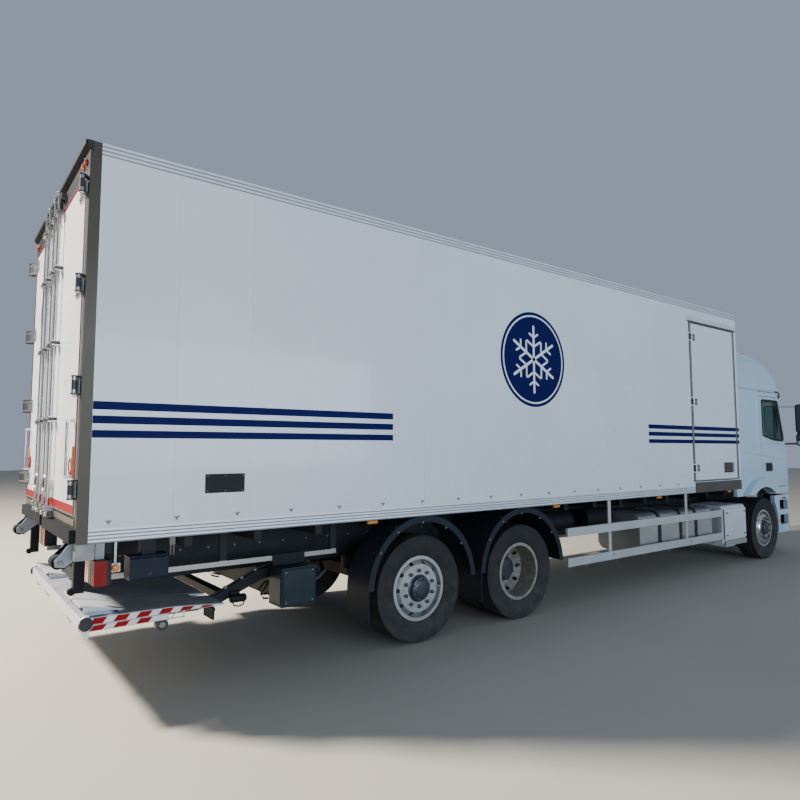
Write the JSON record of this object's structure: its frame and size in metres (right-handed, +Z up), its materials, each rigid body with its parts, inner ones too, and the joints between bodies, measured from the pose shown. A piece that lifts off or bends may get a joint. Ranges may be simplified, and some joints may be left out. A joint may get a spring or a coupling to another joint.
{
  "type": "refrigerated truck",
  "caption": "Three-axle refrigerated truck with sleeper cab, insulated box body, rear and side doors, folded tail lift and underslung cooling unit.",
  "frame": {"origin": "on the ground, midway between the dock buffers and the bumper, on the centre line", "axes": "+X forward, +Y to the left side, +Z up"},
  "size_m": [12.014, 3, 4],
  "materials": {
    "white_paint": "gloss",
    "box_skin": "smooth laminate",
    "chassis_black": "satin",
    "cast_grey": "rough",
    "aluminium": "satin",
    "stainless": "brushed",
    "galvanised": "dull zinc",
    "tyre": "matt",
    "black_plastic": "grained",
    "grey_plastic": "grained",
    "glass": "tinted",
    "lamp_glass": "clear",
    "lamp_red": "clear",
    "seat_cloth": "woven",
    "wheel_steel": "satin"
  },
  "bodies": {
    "chassis": {"chassis_frame": "chassis_black", "subframe": "galvanised", "front_axle": "cast_grey", "rear_axles": "cast_grey", "suspension": "chassis_black", "powertrain": "cast_grey", "fuel_tank": "aluminium", "air_tanks": "chassis_black", "battery_box": "white_paint", "exhaust_box": "grey_plastic", "refrigeration_unit": "white_paint", "side_guards": "aluminium", "mudguards": "black_plastic", "front_bumper": "white_paint", "headlamps": "lamp_glass", "box_floor": "galvanised", "box_left_wall": "box_skin", "box_right_wall": "box_skin", "box_front_wall": "box_skin", "box_roof": "box_skin", "box_rear_frame": "stainless", "box_rails": "aluminium", "evaporator": "white_paint", "dock_buffers": "black_plastic", "rear_lamps": "lamp_red", "lift_rails": "galvanised"},
    "cab": {"cab_shell": "white_paint", "cab_roof": "white_paint", "windscreen": "glass", "cab_interior": "grey_plastic", "cab_seats": "seat_cloth", "grille": "black_plastic", "mirrors": "white_paint", "sun_visor": "black_plastic"},
    "cab_door_left": {"cab_door_left": "white_paint", "door_glass_left": "glass"},
    "cab_door_right": {"cab_door_right": "white_paint", "door_glass_right": "glass"},
    "side_door": {"side_door": "box_skin"},
    "rear_door_left": {"rear_door_left": "box_skin", "rear_lock_left": "stainless"},
    "rear_door_right": {"rear_door_right": "box_skin", "rear_lock_right": "stainless"},
    "lift_carriage": {"lift_carriage": "chassis_black"},
    "lift_arms": {"lift_arms": "chassis_black"},
    "lift_platform": {"lift_platform": "aluminium"},
    "knuckle_left": {"knuckle_left": "cast_grey"},
    "knuckle_right": {"knuckle_right": "cast_grey"},
    "front_wheel_left": {"front_tyre_left": "tyre", "front_rim_left": "wheel_steel"},
    "front_wheel_right": {"front_tyre_right": "tyre", "front_rim_right": "wheel_steel"},
    "drive_wheel_left": {"drive_tyre_left": "tyre", "drive_rim_left": "wheel_steel"},
    "drive_wheel_right": {"drive_tyre_right": "tyre", "drive_rim_right": "wheel_steel"},
    "tag_wheel_left": {"tag_tyre_left": "tyre", "tag_rim_left": "wheel_steel"},
    "tag_wheel_right": {"tag_tyre_right": "tyre", "tag_rim_right": "wheel_steel"}
  },
  "joints": [
    {"name": "cab_tilt", "type": "hinge", "parent": "chassis", "child": "cab", "pos_m": [5.877, 0, 0.8], "axis": [0, 1, 0], "range_deg": [0, 60]},
    {"name": "cab_door_left_hinge", "type": "hinge", "parent": "cab", "child": "cab_door_left", "pos_m": [5.719, 1.162, 1.58], "axis": [0, 0, -1], "range_deg": [0, 70]},
    {"name": "cab_door_right_hinge", "type": "hinge", "parent": "cab", "child": "cab_door_right", "pos_m": [5.719, -1.162, 1.58], "axis": [0, 0, 1], "range_deg": [0, 70]},
    {"name": "side_door_hinge", "type": "hinge", "parent": "chassis", "child": "side_door", "pos_m": [2.203, -1.325, 2.53], "axis": [0, 0, -1], "range_deg": [0, 170]},
    {"name": "rear_door_left_hinge", "type": "hinge", "parent": "chassis", "child": "rear_door_left", "pos_m": [-5.937, 1.32, 2.6], "axis": [0, 0, -1], "range_deg": [0, 265]},
    {"name": "rear_door_right_hinge", "type": "hinge", "parent": "chassis", "child": "rear_door_right", "pos_m": [-5.937, -1.32, 2.6], "axis": [0, 0, 1], "range_deg": [0, 265]},
    {"name": "steer_left", "type": "hinge", "parent": "chassis", "child": "knuckle_left", "pos_m": [4.627, 0.88, 0.507], "axis": [0, 0, 1], "range_deg": [-40, 40]},
    {"name": "steer_right", "type": "hinge", "parent": "chassis", "child": "knuckle_right", "pos_m": [4.627, -0.88, 0.507], "axis": [0, 0, 1], "range_deg": [-40, 40]},
    {"name": "front_wheel_left_spin", "type": "hinge", "parent": "knuckle_left", "child": "front_wheel_left", "pos_m": [4.627, 1.064, 0.507], "axis": [0, 1, 0], "continuous": true},
    {"name": "drive_wheel_left_spin", "type": "hinge", "parent": "chassis", "child": "drive_wheel_left", "pos_m": [-1.473, 0.919, 0.507], "axis": [0, 1, 0], "continuous": true},
    {"name": "tag_wheel_left_spin", "type": "hinge", "parent": "chassis", "child": "tag_wheel_left", "pos_m": [-2.873, 1.079, 0.507], "axis": [0, 1, 0], "continuous": true},
    {"name": "front_wheel_right_spin", "type": "hinge", "parent": "knuckle_right", "child": "front_wheel_right", "pos_m": [4.627, -1.064, 0.507], "axis": [0, 1, 0], "continuous": true},
    {"name": "drive_wheel_right_spin", "type": "hinge", "parent": "chassis", "child": "drive_wheel_right", "pos_m": [-1.473, -0.919, 0.507], "axis": [0, 1, 0], "continuous": true},
    {"name": "tag_wheel_right_spin", "type": "hinge", "parent": "chassis", "child": "tag_wheel_right", "pos_m": [-2.873, -1.079, 0.507], "axis": [0, 1, 0], "continuous": true},
    {"name": "lift_slide", "type": "slide", "parent": "chassis", "child": "lift_carriage", "axis": [-1, 0, 0], "range_m": [0, 1.1]},
    {"name": "lift_arm_pivot", "type": "hinge", "parent": "lift_carriage", "child": "lift_arms", "pos_m": [-4.218, 0, 0.78], "axis": [0, -1, 0], "range_deg": [0, 46]},
    {"name": "lift_platform_pivot", "type": "hinge", "parent": "lift_arms", "child": "lift_platform", "pos_m": [-4.893, 0, 0.585], "axis": [0, -1, 0], "range_deg": [-46, 0]}
  ],
  "couplings": [
    {"joint": "steer_right", "follows": "steer_left", "ratio": 1},
    {"joint": "lift_platform_pivot", "follows": "lift_arm_pivot", "ratio": -1}
  ]
}
